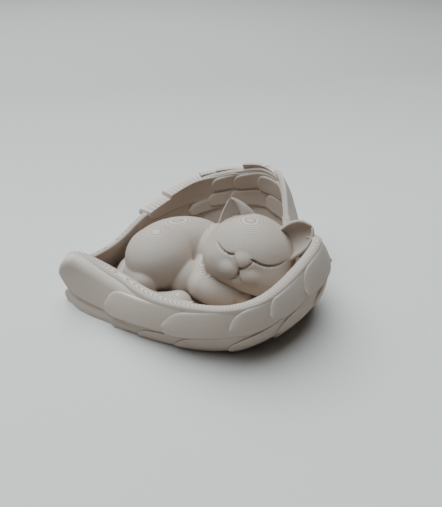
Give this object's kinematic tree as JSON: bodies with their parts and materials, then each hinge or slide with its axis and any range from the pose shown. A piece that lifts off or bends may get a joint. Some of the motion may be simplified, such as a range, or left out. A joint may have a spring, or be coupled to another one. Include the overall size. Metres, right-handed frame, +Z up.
{
  "type": "sleeping cat figurine",
  "caption": "Desk figurine of a kitten asleep, curled up in a boat-shaped nest made of two folded feathered wings; one printed piece that rests on its flat underside.",
  "frame": {"origin": "under the middle of the object's box, on the plane of the flat underside", "axes": "+Z up, +X along the nest from the wing tips to the wing roots, +Y towards the far wing"},
  "size_m": [0.082, 0.075, 0.033],
  "materials": {
    "printed_plastic": "matt warm off-white with fine printed layer lines"
  },
  "bodies": {
    "root": {"sleeping_kitten": "printed_plastic"}
  },
  "joints": []
}
